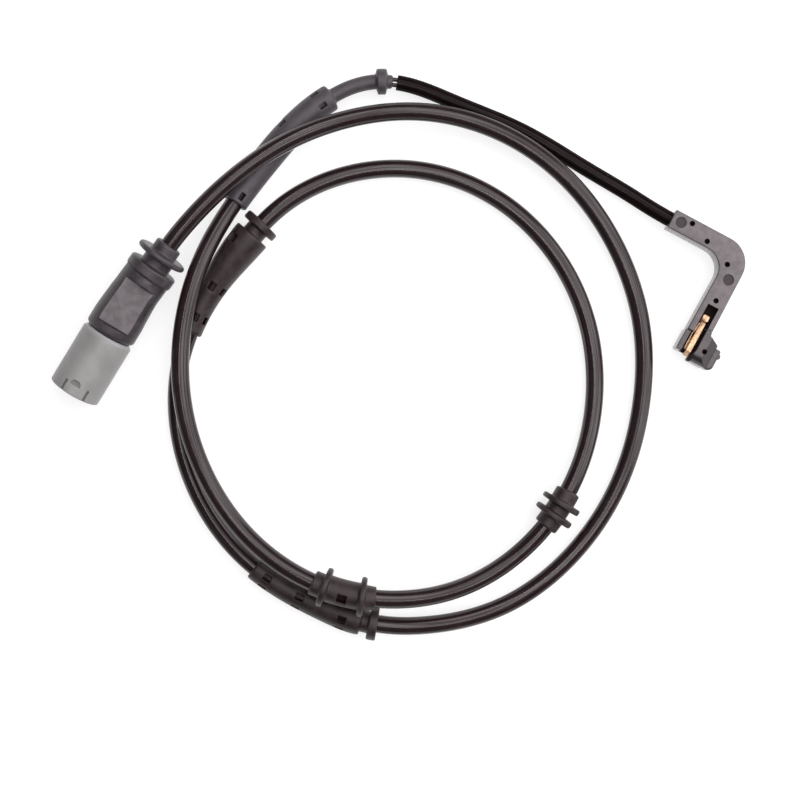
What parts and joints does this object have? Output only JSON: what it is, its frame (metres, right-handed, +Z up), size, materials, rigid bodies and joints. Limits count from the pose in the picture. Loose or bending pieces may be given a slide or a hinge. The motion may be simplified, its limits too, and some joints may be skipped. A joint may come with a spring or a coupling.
{
  "type": "brake pad wear sensor",
  "caption": "Brake pad wear sensor harness: round plug, long cable with moulded grommets laid in a loose spiral, thin sleeved lead and L-shaped sensor head.",
  "frame": {"origin": "on the surface that the harness lies on, under the middle of its rigid pieces", "axes": "+X from the plug's side towards the sensor head, +Y towards the side where the thin lead leaves, +Z up from the surface"},
  "size_m": [0.1909, 0.1585, 0.0194],
  "materials": {
    "jacket": "smooth",
    "gloss_sleeve": "glossy",
    "black_rubber": "matt",
    "grey_rubber": "matt",
    "collar_plastic": "satin",
    "carrier_plastic": "matt",
    "seal_rubber": "matt",
    "wire_insulation": "smooth",
    "head_plastic": "satin",
    "nose_plastic": "satin",
    "contact_metal": "plated",
    "copper": "bright"
  },
  "bodies": {
    "root": {"plug_collar": "collar_plastic", "plug_insert": "carrier_plastic", "plug_seal": "seal_rubber", "plug_contact_1": "contact_metal", "plug_contact_2": "contact_metal", "plug_boot": "grey_rubber", "plug_core_1": "wire_insulation", "plug_core_2": "wire_insulation", "cable": "jacket", "long_grommet_lower": "black_rubber", "long_grommet_upper": "black_rubber", "spool_grommet": "black_rubber", "window_grommet": "black_rubber", "tail_grommet": "grey_rubber", "elbow_boot": "grey_rubber", "lead_sleeve": "gloss_sleeve", "lead_wire_a": "wire_insulation", "lead_wire_b": "wire_insulation", "sensor_arm": "head_plastic", "sensor_nose": "nose_plastic", "spring_clip": "copper", "wear_loop": "wire_insulation"}
  },
  "joints": []
}
